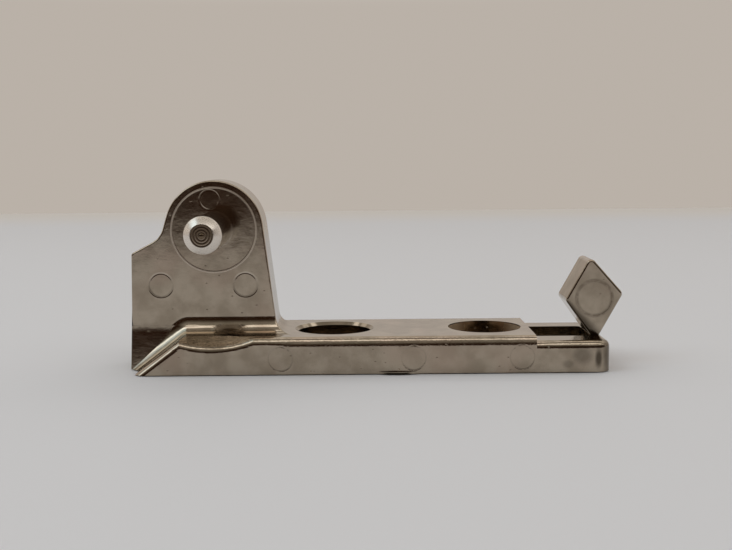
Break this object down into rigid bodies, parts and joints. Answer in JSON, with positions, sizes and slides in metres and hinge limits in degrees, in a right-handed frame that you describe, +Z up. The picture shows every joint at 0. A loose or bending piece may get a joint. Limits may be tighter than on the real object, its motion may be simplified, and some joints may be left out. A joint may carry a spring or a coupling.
{
  "type": "fridge middle hinge",
  "caption": "Die-cast fridge middle hinge: a screw-down bar with an upright ear, a pressed-in pin that stands out on both sides, and a diamond lug on the open end.",
  "frame": {"origin": "under the middle of the hinge's length, on the plane of the seat", "axes": "+X along the bar from the ear to the lug, +Y along the pin from the side in the picture to the far side, +Z up from the seat"},
  "size_m": [0.1098, 0.0458, 0.0419],
  "materials": {
    "nickel_casting": "nickel-plated casting, half bright",
    "turned_steel": "turned"
  },
  "bodies": {
    "root": {"hinge_bracket": "nickel_casting", "hinge_pin": "turned_steel"}
  },
  "joints": []
}
